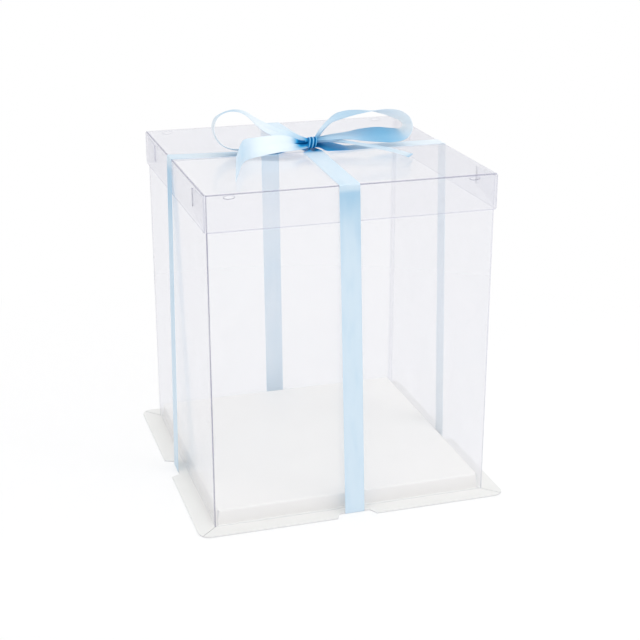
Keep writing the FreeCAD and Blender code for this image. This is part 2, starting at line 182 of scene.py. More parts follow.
# Where the ribbon's middle lies
BAND_OUT = LID_HIGH.x + RIBBON_AIR + RIBBON / 2
NOTCH_OUT = SLEEVE_HIGH.x + NOTCH_SETBACK + RIBBON_AIR + RIBBON / 2
DROP_END = RIBBON_AIR + RIBBON + NOTCH_BEND / 6
ON_LID = LID_TOP + RIBBON_AIR + RIBBON / 2
CROSSING = ON_LID + RIBBON + RIBBON_AIR

# Strips under the base: where the upper one climbs over the lower one
UNDER_LAND = RIBBON_WIDTH / 2 + 1 * MM
UNDER_RAMP = 6 * MM
UNDER_BEND = 20 * MM

# Shade and highlight painted along each band over the lid: distance from the middle in millimetres, depth
# (above 0 painted shade, as under the bow and just below the lid's edge, below 0 a painted highlight);
# distances past the lid's edge run on down the drop
LONG_PAINTED_LIGHT = (
    (-300, 0), (-200, 0), (-160, 0.12), (-136, 0.3), (-132, 0), (-14, -0.15), (-9, 0.4), (-4, 0.8),
    (18, 1), (24, 0), (132, 0), (140, 0.12), (170, 0.12), (215, -0.05), (290, 0), (400, 0.15),
)
CROSS_PAINTED_LIGHT = (
    (-400, 0), (-205, 0.1), (-165, 0.3), (-140, 0.3), (-134, 0), (-95, -0.4), (-72, 0), (-40, 0.25),
    (-24, 1), (8, 1), (14, 0.82), (32, 0.75), (40, 0.4), (50, 0.2), (62, 0),
    (133, -0.6), (140, -0.35), (400, -0.3),
)

# Each band over the lid: axis 0 runs along X and 1 along Y, shifts are how far aside it crosses the lid's
# near and far edge, rise is how far it climbs at the knot, gathers are how far from the knot it narrows
LONG_BAND = SimpleNamespace(
    name="long_band", axis=1, near_shift=-5 * MM, far_shift=-4 * MM, middle=CROSSING,
    rise_foot=25 * MM, rise=0, near_gather=8 * MM, far_gather=42 * MM, twist=0, painted_light=LONG_PAINTED_LIGHT,
    nodes=("ribbon_top_long", "ribbon_front_drop", "ribbon_back_drop"),
)
CROSS_BAND = SimpleNamespace(
    name="cross_band", axis=0, near_shift=12 * MM, far_shift=0, middle=ON_LID,
    rise_foot=36 * MM, rise=5.5 * MM, near_gather=30 * MM, far_gather=14 * MM, twist=math.radians(20),
    painted_light=CROSS_PAINTED_LIGHT, nodes=("ribbon_top_cross", "ribbon_left_drop", "ribbon_right_drop"),
)

# The bow's bands: x, y and height above the lid in millimetres, roll in degrees, share of the width, and the
# painted light there: 0 none, 1 painted shade in a fold, -1 a painted highlight where it catches the light
LEFT_LOOP = (
    (-2, 1, 9, -6, 0.32, 1),
    (-7, 2.5, 10.4, -9, 0.42, 0.4),
    (-15.5, 6, 13.5, -12, 0.62, 0.15),
    (-26.5, 8.5, 16.5, -17, 0.8, -0.1),
    (-40, 7, 22.3, -20, 0.97, -0.4),
    (-50, 5, 29, -16, 1, -0.5),
    (-58.5, 4, 36, -8, 1, -0.3),
    (-68.5, 3, 40, 4, 1, 0.1),
    (-79, 2, 39.5, 12, 1, 0.2),
    (-87, 1, 35.5, 10, 1, -0.1),
    (-90.5, 0, 28, 6, 1, -0.5),
    (-89.5, -1, 20.5, 4, 1, -0.4),
    (-84.5, -1, 12.5, -2, 1, -0.1),
    (-76.5, -1, 7.5, -10, 1, 0),
    (-64.5, -1, 5.3, -17, 1, 0.2),
    (-46.5, 1, 5, -14, 0.9, 0.4),
    (-25, 1, 6.5, -8, 0.65, 0.6),
    (-8, 0, 7.8, 0, 0.36, 1),
    (-2, 0, 8, 0, 0.32, 1),
)
RIGHT_LOOP = (
    (2.5, 0, 8.5, 0, 0.32, 0.9),
    (6, 0.5, 12, 0, 0.38, 0.5),
    (10, 1, 17.5, 2, 0.5, 0.05),
    (18, 2, 25, 4, 0.75, 0.1),
    (26.5, 2, 29.5, 8, 0.95, 0.2),
    (37, 2, 32, 4, 1, 0.25),
    (49, 2, 33, -3, 1, 0.25),
    (60.5, 2, 33, -12, 1, 0),
    (73, 2, 31.5, -25, 1, -0.6),
    (83.5, 1, 28.5, -31, 1, -0.8),
    (90.5, 0, 24.3, -24, 1, -1),
    (93.5, -1, 19.2, -13, 1, -1),
    (92, -2, 14.4, -12, 1, -0.6),
    (86.5, -3, 10.8, -24, 1, 0.2),
    (76.5, -3, 10.3, -35, 1, 0.45),
    (65, -3, 11.5, -38, 1, 0.5),
    (50.5, -2, 12, -27, 1, 0.4),
    (36.5, -1, 11.9, -9, 0.9, 0.2),
    (22, 0, 11.4, -3, 0.6, 0.15),
    (8, 0, 10.2, 0, 0.36, 0.5),
    (2.5, 0, 9.2, 0, 0.32, 1),
)
LEFT_TAIL = (
    (-2, -1.5, 6.8, -30, 0.34, 1),
    (-7, -3, 6.9, -36, 0.42, 1),
    (-11.5, -4.3, 7.4, -39, 0.55, 1),
    (-16, -5.2, 8.4, -42, 0.72, 0.4),
    (-22, -6, 9.5, -45, 0.88, -0.2),
    (-32, -7, 10.2, -46, 1, -0.4),
    (-41.5, -8, 9.8, -48, 1, -0.5),
    (-50.5, -9.5, 9.2, -54, 1, -0.4),
    (-59, -12.5, 9.1, -66, 1, -0.2),
    (-66, -19, 9.2, -79, 1, 0),
    (-71.5, -30, 9.3, -86, 1, 0.1),
    (-76.5, -43, 9.3, -88, 1, 0.1),
    (-81.5, -58, 9.3, -88, 1, 0.1),
    (-86.5, -73, 9.3, -88, 1, 0),
    (-91, -86, 9.3, -88, 1, 0),
)
RIGHT_TAIL = (
    (2.5, -0.5, 8.8, 0, 0.32, 0.8),
    (8, -1, 9.2, 0, 0.36, 0.4),
    (21, -4, 8.8, -3, 0.6, 0.15),
    (33, -12, 8.2, -5, 0.9, 0.1),
    (44, -22, 7.5, -6, 1, 0),
    (54, -33, 6.8, -6, 1, 0),
    (64.5, -44, 5.4, -6, 1, -0.2),
    (72, -53, 4.1, -6, 1, -0.2),
    (75.5, -58, 3.2, -5, 1, 0.4),
)
# Name, rows, how its width lies at no roll, slant of its far end, how far one edge stays free of painted
# shade, how it is held
BOW_BANDS = (
    ("left_loop", LEFT_LOOP, (0, 1, 0), 0, 0, "folded"),
    ("right_loop", RIGHT_LOOP, (0, 1, 0), 0, 0, "folded"),
    ("left_tail", LEFT_TAIL, (-0.6, 0.8, 0), -0.8, 0.7, "laid"),
    ("right_tail", RIGHT_TAIL, (0.6, 0.8, 0), -0.4, 0, "laid"),
)

# Knot: half its size, its middle above the lid's middle, its pleats, and the shade painted on its ridges, in
# its grooves and toward its ends
KNOT_HALF = Vector((4.7, 5.4, 5.2)) * MM
KNOT_AT = Vector((0.5, 0, 7.4)) * MM
KNOT_ROWS = 40
KNOT_COLUMNS = 37
KNOT_GROOVE = 1.9 * MM
KNOT_TUCK, KNOT_TUCK_POWER = 1.8 * MM, 6
KNOT_SLANT = 1.5 * MM
KNOT_SQUARE = 0.8
KNOT_DRIFT, KNOT_DRIFT_FROM = 0.1, 0.6
RIDGE_PAINTED_SHADE, GROOVE_PAINTED_SHADE, GROOVE_SHADE_POWER, KNOT_END_PAINTED_SHADE = 0.35, 1.6, 1.2, 0.1

# Film: its tint straight through and at a slant
FILM_TINT, FILM_SLANT_TINT = (0.977, 0.977, 0.982), (0.946, 0.946, 0.96)
# Kinds of film: name, haze, the haze's colour, and how much the haze's patches add; clear film's haze is its
# own, while the crease, fold and edge kinds paint shade, a dark line where folds and cut edges bend the
# light
FILM_LOOKS = (
    ("clear_film", 0.075, (0.89, 0.89, 0.93), 0.035),
    ("film_crease", 0.42, (0.25, 0.25, 0.36), 0.14),
    ("film_fold", 0.12, (0.5, 0.5, 0.65), 0.06),
    ("film_edge", 0.25, (0.5, 0.5, 0.65), 0.1),
)
CLEAR, CREASE, FOLD, EDGE = range(len(FILM_LOOKS))
# The sleeve's creases in order: right front, left front, left back, right back; their painted dark line is
# strong at the front and faint at the back
SLEEVE_CREASES = (EDGE, CREASE, FOLD, FOLD)

# Cards: name, colour and roughness; the feet's darker card is painted shade; the last is the cut edge
CARD_LOOKS = (
    ("white_card", (0.88, 0.867, 0.845), 0.5),
    ("card_foot_painted_shade", (0.82, 0.82, 0.81), 0.5),
    ("card_edge", (0.74, 0.74, 0.75), 0.8),
)
PANEL, FOOT = 0, 1

# Satin: its weave, its woven edge, and the colours of its painted highlight (depth 0 to -1) and painted
# shade (depth 0 to 1)
THREAD, PICK = 0.28 * MM, 0.5 * MM
WOVEN_EDGE, WOVEN_EDGE_BLEND = 1.1 * MM, 0.3 * MM
SATIN_COLOUR, SATIN_EDGE_COLOUR = (0.61, 0.75, 0.86), (0.58, 0.73, 0.85)
SATIN_SHADE_AND_HIGHLIGHT = (
    (0, -1, (0.93, 0.96, 0.975)),
    (0, 0.5, (0.20, 0.47, 0.70)),
    (0.5, 0.75, (0.01, 0.36, 0.72)),
    (0.75, 1, (0.002, 0.15, 0.41)),
)

# Stage: camera, lamps with their place, aim and power, world and floor
CAMERA_AT = Vector((-352.9, -1171.9, 583.0)) * MM
CAMERA_AIM = Vector((5.5, -11.1, 140.3)) * MM
CAMERA_LENS = 76.85
CAMERA_SENSOR = 36
LAMP_SIZE = 1.5
LAMPS = (
    ("key", (1.4, -1.1, 1.8), (0, 0, 0.15), 8),
    ("top", (0.35, -0.3, 2.05), (0, 0, 0.3), 5.4),
    ("fill", (-1.5, -1.0, 1.5), (0, 0, 0.2), 3.6),
)
WHITE = (1, 1, 1, 1)
WORLD_LIGHT = 0.88
FLOOR_COLOUR = (0.93, 0.93, 0.94, 1)
FLOOR_HALF = 3.0
FLOOR_GAP = 0.2 * MM
FLOOR_FADE, FLOOR_PLAIN = (0.15, 0.6), (0.6, 1.0)
FILM_LAYERS_SEEN = 64


# Materials

def new_material(name):
    """Empty material, with its node tree and output node."""
    material = bpy.data.materials.new(name)
    material.use_nodes = True
    tree = material.node_tree
    tree.nodes.clear()
    return material, tree, tree.nodes.new("ShaderNodeOutputMaterial")


def node(tree, kind, inputs=None, **settings):
    """New shader node; inputs maps a socket's name or number to a value, or to another node's output."""
    made = tree.nodes.new("ShaderNode" + kind)
    for name, value in settings.items():
        setattr(made, name, value)
    for name, value in (inputs or {}).items():
        if isinstance(value, bpy.types.NodeSocket):
            tree.links.new(value, made.inputs[name])
        else:
            made.inputs[name].default_value = value
    return made


def math_node(tree, operation, *values):
    """Result of one operation on values, each a number or another node's output."""
    return node(tree, "Math", dict(enumerate(values)), operation=operation).outputs[0]


def noise(tree, place, scale, detail, roughness=0.5):
    """Soft noise over a place."""
    inputs = {"Vector": place, "Scale": scale, "Detail": detail, "Roughness": roughness}
    return node(tree, "TexNoise", inputs).outputs[0]


def map_range(tree, value, source, target=(0.0, 1.0)):
    """Value carried from one range to another, and held at its ends."""
    inputs = {"Value": value, "From Min": source[0], "From Max": source[1],
              "To Min": target[0], "To Max": target[1]}
    return node(tree, "MapRange", inputs).outputs[0]


def mix_colours(tree, share, first, second):
    """Colour between two, each a triple or another node's output."""
    colour_sockets = (6, 7)
    mix = node(tree, "Mix", data_type="RGBA")
    tree.links.new(share, mix.inputs[0])
    for socket, value in zip(colour_sockets, (first, second)):
        if isinstance(value, bpy.types.NodeSocket):
            tree.links.new(value, mix.inputs[socket])
        else:
            mix.inputs[socket].default_value = (*value, 1)
    return mix.outputs[2]


def mix_shaders(tree, share, first, second):
    """Shader between two."""
    return node(tree, "MixShader", {0: share, 1: first.outputs[0], 2: second.outputs[0]})


def film_material(name, haze_and_painted_shade, colour, patches):
    """Clear film: sharp reflection that grows at a slant, over a sheet that is nearly all clear.

    Light on its way to other pieces goes through it freely.
    """
    material, tree, output = new_material(name)
    place = node(tree, "TexCoord").outputs["Object"]
    facing = node(tree, "LayerWeight", {"Blend": 0.5}).outputs["Facing"]
    slant = math_node(tree, "POWER", facing, 5.0)
    mirror = math_node(tree, "MULTIPLY_ADD", slant, 0.42, 0.04)
    cloud = noise(tree, place, scale=14.0, detail=2.0, roughness=0.4)
    # For the crease, fold and edge kinds this veil is a painted dark line
    veil = map_range(tree, cloud, (0.42, 0.62), (haze_and_painted_shade, haze_and_painted_shade + patches))
    through = mix_colours(tree, math_node(tree, "MULTIPLY", facing, facing), FILM_TINT, FILM_SLANT_TINT)
    clear = node(tree, "BsdfTransparent", {"Color": through})
    body = node(tree, "BsdfPrincipled", {"Base Color": (*colour, 1), "Roughness": 0.35})
    sheet = mix_shaders(tree, veil, clear, body)
    scuffs = noise(tree, place, scale=60.0, detail=4.0)
    gloss = map_range(tree, scuffs, (0.0, 1.0), (0.1, 0.24))
    ripples = noise(tree, place, scale=22.0, detail=1.0)
    uneven = node(tree, "Bump", {"Height": ripples, "Strength": 0.5, "Distance": 0.6 * MM})
    shine = node(tree, "BsdfGlossy", {"Color": WHITE, "Roughness": gloss, "Normal": uneven.outputs[0]})
    skin = mix_shaders(tree, mirror, sheet, shine)
    open_way = node(tree, "BsdfTransparent", {"Color": WHITE})
    path = node(tree, "LightPath").outputs
    lighting = math_node(tree, "MAXIMUM", path["Is Shadow Ray"], path["Is Diffuse Ray"])
    whole = mix_shaders(tree, lighting, skin, open_way)
    tree.links.new(whole.outputs[0], output.inputs["Surface"])
    return material


def card_material(name, colour, roughness):
    """White card: faint fibres and a slightly uneven coat."""
    material, tree, output = new_material(name)
    place = node(tree, "TexCoord").outputs["Object"]
    fibres = noise(tree, place, scale=900.0, detail=6.0, roughness=0.65)
    mottle = noise(tree, place, scale=45.0, detail=3.0)
    darker = tuple(c * 0.965 for c in colour)
    shade = mix_colours(tree, mottle, colour, darker)
    grain = node(tree, "Bump", {"Height": fibres, "Strength": 0.12, "Distance": 0.05 * MM})
    coat = map_range(tree, mottle, (0.0, 1.0), (roughness - 0.06, roughness + 0.06))
    body = node(tree, "BsdfPrincipled", {"Base Color": shade, "Roughness": coat,
                                         "Normal": grain.outputs[0], "Specular IOR Level": 0.35})
    tree.links.new(body.outputs[0], output.inputs["Surface"])
    return material


def satin_material(name):
    """Satin ribbon: threads along it, a broad gloss, a firmer woven edge, painted shade in folds and painted
    highlights.
    """
    material, tree, output = new_material(name)
    strip = node(tree, "UVMap", uv_map="strip").outputs[0]
    parts = node(tree, "SeparateXYZ", {0: strip})
    across, along = parts.outputs[0], parts.outputs[1]
    threads = math_node(tree, "MULTIPLY", across, 2 * math.pi / THREAD)
    picks = math_node(tree, "MULTIPLY", along, 2 * math.pi / PICK)
    twill = math_node(tree, "SINE", math_node(tree, "ADD", threads, picks))
    warp = math_node(tree, "SINE", threads)
    weave = math_node(tree, "ADD", warp, math_node(tree, "MULTIPLY", twill, 0.6))
    stretch = node(tree, "Mapping", {"Vector": strip, "Scale": (420.0, 28.0, 1.0)}).outputs[0]
    creases = noise(tree, stretch, scale=1.0, detail=3.0)
    drawn = node(tree, "Mapping", {"Vector": strip, "Scale": (90.0, 22.0, 1.0)}).outputs[0]
    mottle = noise(tree, drawn, scale=1.0, detail=2.0)
    # The depth attribute is painted light: above 0 painted shade in folds and under other pieces, below 0 a
    # painted highlight; random mottle varies it
    painted_light_value = node(tree, "Attribute", attribute_name="depth", attribute_type="GEOMETRY").outputs["Fac"]
    uneven = math_node(tree, "MULTIPLY_ADD", mottle, 0.3, -0.15)
    depth = math_node(tree, "MULTIPLY_ADD", uneven, math_node(tree, "SUBTRACT", 1.0, painted_light_value), painted_light_value)
    edge_from = RIBBON_WIDTH / 2 - WOVEN_EDGE
    edge = map_range(tree, math_node(tree, "ABSOLUTE", across), (edge_from, edge_from + WOVEN_EDGE_BLEND))
    colour_with_painted_light = mix_colours(tree, edge, SATIN_COLOUR, SATIN_EDGE_COLOUR)
    # Paint the highlight and shade colours over the ribbon's own colour
    for start, end, colour in SATIN_SHADE_AND_HIGHLIGHT:
        colour_with_painted_light = mix_colours(tree, map_range(tree, depth, (start, end)), colour_with_painted_light, colour)
    height = math_node(tree, "MULTIPLY_ADD", creases, 2.0, weave)
    relief = node(tree, "Bump", {"Height": height, "Strength": 0.2, "Distance": 0.04 * MM})
    rough = map_range(tree, creases, (0.0, 1.0), (0.32, 0.46))
    # Less gloss where shade is painted
    shine = map_range(tree, depth, (0.0, 1.0), (0.7, 0.05))
    tangent = node(tree, "Tangent", direction_type="UV_MAP", uv_map="strip")
    body = node(tree, "BsdfPrincipled", {"Base Color": colour_with_painted_light, "Roughness": rough, "IOR": 1.6,
                                         "Normal": relief.outputs[0], "Tangent": tangent.outputs[0],
                                         "Anisotropic": 0.5, "Specular IOR Level": shine})
    tree.links.new(body.outputs[0], output.inputs["Surface"])
    return material


# Meshes

def add_object(name, data):
    """New object in the scene."""
    made = bpy.data.objects.new(name, data)
    scene.collection.objects.link(made)
    return made


def add_grid(bm, rows, material=None, skip=None):
    """Faces between rows of points; material and skip take a face's row and column."""
    verts = [[bm.verts.new(point) for point in row] for row in rows]
    for i in range(len(verts) - 1):
        for j in range(len(verts[i]) - 1):
            if skip and skip(i, j):
                continue
            corners = (verts[i][j], verts[i][j + 1], verts[i + 1][j + 1], verts[i + 1][j])
            bm.faces.new(corners).material_index = material(i, j) if material else 0
    return verts


def make_piece(name, bm, materials, thickness, body, nodes):
    """Turns a sheet's middle surface into a closed piece that rides on a body and stands for CAD nodes.

    The last of its materials is on its cut edge.
    """
    bmesh.ops.remove_doubles(bm, verts=bm.verts, dist=WELD)
    bmesh.ops.recalc_face_normals(bm, faces=bm.faces)
    mesh = bpy.data.meshes.new(name)
    bm.to_mesh(mesh)
    bm.free()
    for material in materials:
        mesh.materials.append(material)
    piece = add_object(name, mesh)
    thicken = piece.modifiers.new("thickness", "SOLIDIFY")
    thicken.thickness = thickness
    thicken.offset = 0
    thicken.use_even_offset = True
    thicken.material_offset_rim = len(materials) - 1
    solid = bpy.data.meshes.new_from_object(piece.evaluated_get(bpy.context.evaluated_depsgraph_get()))
    piece.modifiers.clear()
    piece.data = solid
    solid.name = name
    solid.shade_smooth()
    solid.set_sharp_from_angle(angle=SHARP_ANGLE)
    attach(piece, body)
    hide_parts(*nodes)
    return piece


def spread(low, high, step):
    """Even positions from low to high, about step apart."""
    return list(np.linspace(low, high, max(2, round((high - low) / step) + 1)))


def with_cuts(values, cuts):
    """Positions with extra ones put in, dropping those too near to them."""
    kept = [v for v in values if all(abs(v - cut) > CUT_CLEARANCE for cut in cuts)]
    return sorted(kept + list(cuts))


def quarter(centre, start, end):
    """Quarter turn about centre, in the plane of the directions start and end, as a list of points."""
    angles = np.linspace(0, math.pi / 2, BEND_STEPS + 1)
    return [centre + start * math.cos(a) + end * math.sin(a) for a in angles]


def clamp(value, low=0, high=1):
    """Value held between two others."""
    return min(max(value, low), high)


def ease(share):
    """Share from 0 to 1 with a soft start and end."""
    return share * share * (3 - 2 * share)


def waves(u, v):
    """Gentle uneven waves of the film at u and v, from -1 to 1."""
    slow = math.sin(2.3 * math.pi * u + 0.7) * math.cos(1.6 * math.pi * v + 0.4)
    quick = math.sin(5.1 * math.pi * u + 3.8 * math.pi * v) * 0.35
    return (slow + quick) / 1.35


# Sleeve

def sleeve_walls():
    """Walls in order, as seen from above, and the flap: where each starts and ends."""
    half = SLEEVE_HIGH.x - FILM / 2
    corner = half - FILM_CREASE
    flap_x = half - FILM - FLAP_GAP
    return (
        (Vector((half, half - FILM, 0)), Vector((half, -corner, 0))),
        (Vector((corner, -half, 0)), Vector((-corner, -half, 0))),
        (Vector((-half, -corner, 0)), Vector((-half, corner, 0))),
        (Vector((-corner, half, 0)), Vector((flap_x - FILM_CREASE, half, 0))),
        (Vector((flap_x, corner, 0)), Vector((flap_x, half - FLAP_WIDTH, 0))),
    )


def sleeve_columns():
    """Columns round the sleeve, as place, outward direction, freedom to swell and place in the waves.

    Also returns which film each crease has, by the number of its column.
    """
    walls = sleeve_walls()
    columns, creases = [], {}
    for number, (start, end) in enumerate(walls):
        along = (end - start).normalized()
        outward = along.cross(UP) * -1
        is_flap = number == len(walls) - 1
        spans = FLAP_SPANS if is_flap else WALL_SPANS
        for k in range(spans + 1):
            u = k / spans
            freedom = 0 if is_flap else math.sin(math.pi * u)
            columns.append((start.lerp(end, u), outward, freedom, u + number))
        if not is_flap:
            following = walls[number + 1][0]
            turn_out = (following - end).dot(outward) * outward
            turn_on = (following - end).dot(along) * along
            for point in quarter(end + turn_out, -turn_out, turn_on)[1:-1]:
                creases[len(columns) - 1] = creases[len(columns)] = SLEEVE_CREASES[number]
                columns.append((point, outward, 0, number))
    return columns, creases


def build_sleeve(films):
    """One film sheet round four walls, its last flap turned inside the right wall at the back."""
    columns, creases = sleeve_columns()
    rows = []
    for z in spread(SLEEVE_LOW.z, SLEEVE_HIGH.z, WALL_STEP):
        v = (z - SLEEVE_LOW.z) / (SLEEVE_HIGH.z - SLEEVE_LOW.z)
        arch = math.sin(math.pi * v)
        row = []
        for point, outward, freedom, u in columns:
            swell = WALL_BULGE * freedom * (EVEN_PART * arch + WAVY_PART * waves(u, v) * arch)
            row.append(point + outward * swell + UP * z)
        rows.append(row)
    bm = bmesh.new()
    add_grid(bm, rows, material=lambda i, j: creases.get(j, CLEAR))
    nodes = [f"sleeve_{side}_wall" for side in SIDES] + ["sleeve_seam_flap"]
    make_piece("sleeve_film", bm, films, FILM, "sleeve", nodes)


# Lid

def lid_sag(x, y):
    """How far the top panel stands from level: it hangs most in the middle."""
    u, v = (x / LID_INNER + 1) / 2, (y / LID_INNER + 1) / 2
    freedom = math.sin(math.pi * u) * math.sin(math.pi * v)
    return -LID_SAG * freedom * (EVEN_PART + WAVY_PART * waves(u, v))


def skirt_flare(u, z):
    """How far a skirt stands out, u from its middle: free at its lower edge, still under the ribbon."""
    depth = (FOLD_FOOT - z) / (FOLD_FOOT - SKIRT_BOTTOM)
    freedom = min(1, abs(u) / STILL_REACH) * math.cos(math.pi / 2 * u / LID_HALF)
    return SKIRT_WAVE * depth * freedom * waves(u / LID_HALF, SKIRT_WAVE_SPAN * depth)


def slot_half_height(x):
    """Half the height of a lens slot at x, between two arcs."""
    half, bow = SLOT_LENGTH / 2, SLOT_HEIGHT / 2
    away = min(abs(abs(x) - SLOT_MID) / half, 1)
    radius = (half ** 2 + bow ** 2) / (2 * bow)
    return math.sqrt(max(radius ** 2 - (away * half) ** 2, 0)) - (radius - bow)


def add_lid_fold(bm, edge, outward, side):
    """Fold along an edge of the top panel. Returns its lowest points, where the skirt starts."""
    folds = []
    for x, y in edge:
        centre = Vector((0, 0, -LID_CREASE)) + Vector((x, y, LID_LEVEL))
        folds.append(quarter(centre, UP * LID_CREASE, outward * LID_CREASE))
    # Painted dark line: strong on the front and left folds, faint on the back and right
    film = CREASE if side < 0 else FOLD
    add_grid(bm, list(zip(*folds)), material=lambda i, j: film)
    return [fold[-1] for fold in folds]


def add_end_skirt(bm, side, xs):
    """Front or back skirt: film down to the slots' upper arcs, and from their lower arcs to the edge."""
    outward = Vector((0, side, 0))
    upper = [add_lid_fold(bm, [(x, side * LID_INNER) for x in xs], outward, side)]
    for share in (0.5, 1):
        row = []
        for x in xs:
            z = FOLD_FOOT + (SLOT_LEVEL + slot_half_height(x) - FOLD_FOOT) * share
            row.append(Vector((x, side * LID_HALF, z)) + outward * skirt_flare(x, SLOT_LEVEL))
        upper.append(row)
    lower = []
    for share in END_SKIRT_ROWS:
        row = []
        for x in xs:
            z = (SLOT_LEVEL - slot_half_height(x)) * (1 - share) + SKIRT_BOTTOM * share
            flare = skirt_flare(x, z if share else SLOT_LEVEL)
            row.append(Vector((x, side * LID_HALF, z)) + outward * flare)
        lower.append(row)
    lowest = len(END_SKIRT_ROWS) - 2

    def at_slot(j):
        return slot_half_height((xs[j] + xs[j + 1]) / 2) > 0

    # Painted dark lines round the slots and along the skirt's lower edge
    def lower_film(i, j):
        if i == lowest:
            return EDGE
        return CREASE if i == 0 and at_slot(j) else CLEAR

    add_grid(bm, upper, material=lambda i, j: EDGE if i == 1 and at_slot(j) else CLEAR)
    add_grid(bm, lower, material=lower_film)


def add_side_skirt(bm, side, ys):
    """Left or right skirt: film with a slit for the tongue of each corner tab."""
    outward = Vector((side, 0, 0))
    zs = SIDE_SKIRT_ROWS
    rows = [add_lid_fold(bm, [(side * LID_INNER, y) for y in ys], outward, side)]
    for z in zs[1:]:
        rows.append([Vector((side * LID_HALF, y, z)) + outward * min(skirt_flare(y, z), 0) for y in ys])
    lowest = len(zs) - 2

    def in_slit(i, j, rim=0):
        """Whether a face lies in a slit, or in the rim beside it."""
        middle_z = (zs[i] + zs[i + 1]) / 2
        middle_y = (ys[j] + ys[j + 1]) / 2
        return SLIT_LOW < middle_z < SLIT_TOP and abs(abs(middle_y) - SLIT_MID) < SLIT_HALF + rim

    # Painted dark line round each slit and along the skirt's lower edge
    def film(i, j):
        if in_slit(i, j, SLIT_RIM):
            return CREASE
        return EDGE if i == lowest else CLEAR

    add_grid(bm, rows, material=film, skip=in_slit)


def build_lid(films):
    """One film sheet: top panel and four skirts, slotted at the front and back, slit at the sides."""
    slot_shares = np.linspace(-1, 1, SLOT_COLUMNS)
    slots = [sign * SLOT_MID + SLOT_LENGTH / 2 * share for sign in (-1, 1) for share in slot_shares]
    slit_edges = (-SLIT_HALF - SLIT_RIM, -SLIT_HALF, SLIT_HALF, SLIT_HALF + SLIT_RIM)
    slits = [sign * SLIT_MID + edge for sign in (-1, 1) for edge in slit_edges]
    xs = with_cuts(spread(-LID_INNER, LID_INNER, PANEL_STEP), slots)
    ys = with_cuts(spread(-LID_INNER, LID_INNER, PANEL_STEP), slits)
    bm = bmesh.new()
    add_grid(bm, [[Vector((x, y, LID_LEVEL + lid_sag(x, y))) for x in xs] for y in ys])
    for side in (-1, 1):
        add_end_skirt(bm, side, xs)
    for side in (-1, 1):
        add_side_skirt(bm, side, ys)
    nodes = ["lid_top_panel"] + [f"lid_{side}_skirt" for side in SIDES]
    return make_piece("lid_film", bm, films, FILM, "lid", nodes)


def tab_plan():
    """Plan of the back right tab: round the corner, along the side, then inward as the tongue."""
    face = LID_HIGH.x + TAB_GAP + FILM / 2
    start = LID_HALF - FILM_CREASE
    tongue_end = LID_HIGH.x - FILM - TONGUE_REACH
    centre = Vector((face - FILM_CREASE, start, 0))
    corner = quarter(centre, Vector((0, FILM_CREASE, 0)), Vector((FILM_CREASE, 0, 0)))
    plan = [(point.x, point.y) for point in corner]
    plan += [(face, y) for y in spread(SLIT_MID + TONGUE_BEND, start, TAB_STEP)[-2::-1]]
    plan += [(face - TONGUE_BEND_IN, SLIT_MID + TONGUE_BEND_SHORT), (face - TONGUE_BEND, SLIT_MID)]
    plan += [(tongue_end, SLIT_MID)]
    return plan


def build_tab(films, end_name, side_name):
    """Corner tab: from a front or back skirt round the corner, its tongue in the side skirt's slit."""
    end = -1 if end_name == "front" else 1
    side = -1 if side_name == "left" else 1
    plan = tab_plan()
    high, low = LID_LOW.z - TAB_MARGIN, SKIRT_BOTTOM + TAB_MARGIN
    tongue_high = SLIT_TOP - SLIT_GAP
    tongue_low = tongue_high - SLIT_HEIGHT + 2 * SLIT_GAP
    rows = []
    for x, y in plan:
        share = clamp((LID_HIGH.y - y) / TAB_LENGTH)
        top = high + (tongue_high - high) * share
        bottom = low + (tongue_low - low) * share
        rows.append([Vector((side * x, end * y, z)) for z in np.linspace(bottom, top, TAB_POINTS)])
    tongue_from = len(rows) - 1 - TONGUE_ROWS

    # Painted dark line at the corner bend and at the tongue, stronger on the front tabs
    def film(i, j):
        if i < BEND_STEPS:
            return FOLD
        if i < tongue_from:
            return CLEAR
        return CREASE if end_name == "front" else FOLD

    bm = bmesh.new()
    add_grid(bm, rows, material=film)
    name = f"{end_name}_{side_name}_tab"
    make_piece(f"{name}_film", bm, films, FILM, name, [f"lid_{name}"])


# Base

def base_columns():
    """Columns across one side of the base: on the foot's outline, at its root and at the platform."""
    centre = FOOT_OUT - FOOT_RADIUS
    notch = SLEEVE_HIGH.x + NOTCH_SETBACK
    mouth = NOTCH_WIDTH / 2 + NOTCH_FLARE
    mitre = math.radians(45) + math.asin(MITRE_GAP / (2 * FOOT_RADIUS))
    # Right half of the outline, from the notch's middle to the mitre
    edge = [(x, notch) for x in (*NOTCH_COLUMNS, NOTCH_WIDTH / 2)]
    edge += [(x, FOOT_OUT) for x in spread(mouth, centre, FOOT_STEP)]
    arc = np.linspace(math.pi / 2, mitre, FOOT_ARC_POINTS)[1:]
    edge += [(centre + FOOT_RADIUS * math.cos(a), centre + FOOT_RADIUS * math.sin(a)) for a in arc]
    # The root is shorter than the outline, so the columns draw together toward the corner
    root_end = BASE_ROOT - MITRE_GAP / math.sqrt(2)
    room, reach = root_end - SQUEEZE_FROM, edge[-1][0] - SQUEEZE_FROM
    roots = []
    for x, _ in edge:
        roots.append(x if x < SQUEEZE_FROM else SQUEEZE_FROM + (x - SQUEEZE_FROM) * room / reach)
    outline = [(-x, y) for x, y in edge[:0:-1]] + edge
    roots = [-x for x in roots[:0:-1]] + roots
    tops = [x * BASE_INNER / root_end for x in roots]
    return outline, roots, tops


def card_relief(x):
    """How far the card rides up at x, over the ribbon that passes under it."""
    away = (abs(x) - RELIEF_WIDTH / 2) / RELIEF_RAMP
    return RELIEF_RISE * (1 - ease(clamp(away)))


def platform_level(x, y):
    """Height of the platform's sheet, which hangs a little in its middle."""
    across, along = [math.cos(math.pi / 2 * place / BASE_INNER) for place in (x, y)]
    return BASE_LEVEL - CARD_SAG * across * along


